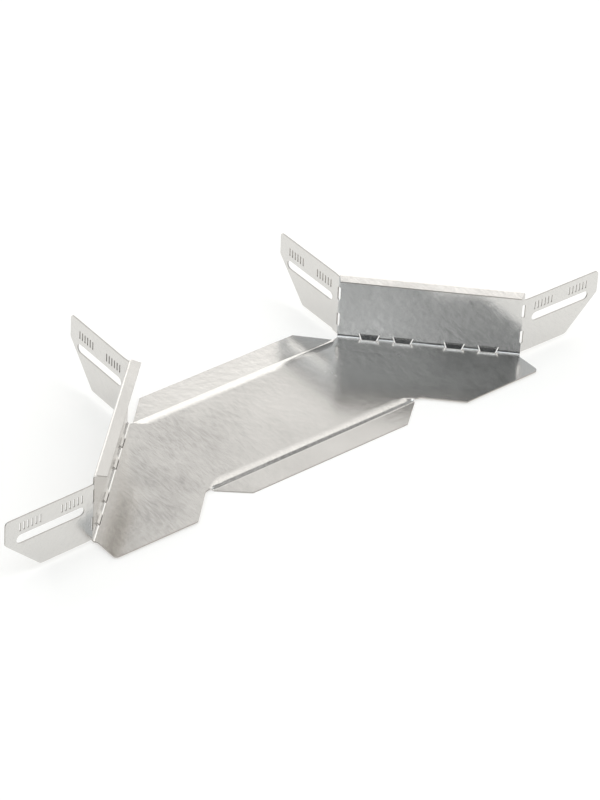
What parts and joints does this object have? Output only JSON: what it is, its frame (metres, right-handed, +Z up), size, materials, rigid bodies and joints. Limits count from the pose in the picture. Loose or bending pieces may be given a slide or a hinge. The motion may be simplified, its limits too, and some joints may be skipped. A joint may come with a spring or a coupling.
{
  "type": "cable tray tee",
  "caption": "Add-on tee for a cable tray, folded from one galvanised sheet: flared floor with two lips, two slanted side walls with turned-in tops, and slotted coupling tabs.",
  "frame": {"origin": "under the middle of the part's bounding box, at the level of the undersides of the two lips, on which the part rests", "axes": "+X along the main tray run, +Y out along the branch, +Z up"},
  "size_m": [0.5502, 0.1998, 0.0615],
  "materials": {
    "galvanised_sheet": "strip-galvanised sheet steel, semi-bright, with fine rolling grain"
  },
  "bodies": {
    "root": {"tee_sheet": "galvanised_sheet"}
  },
  "joints": []
}
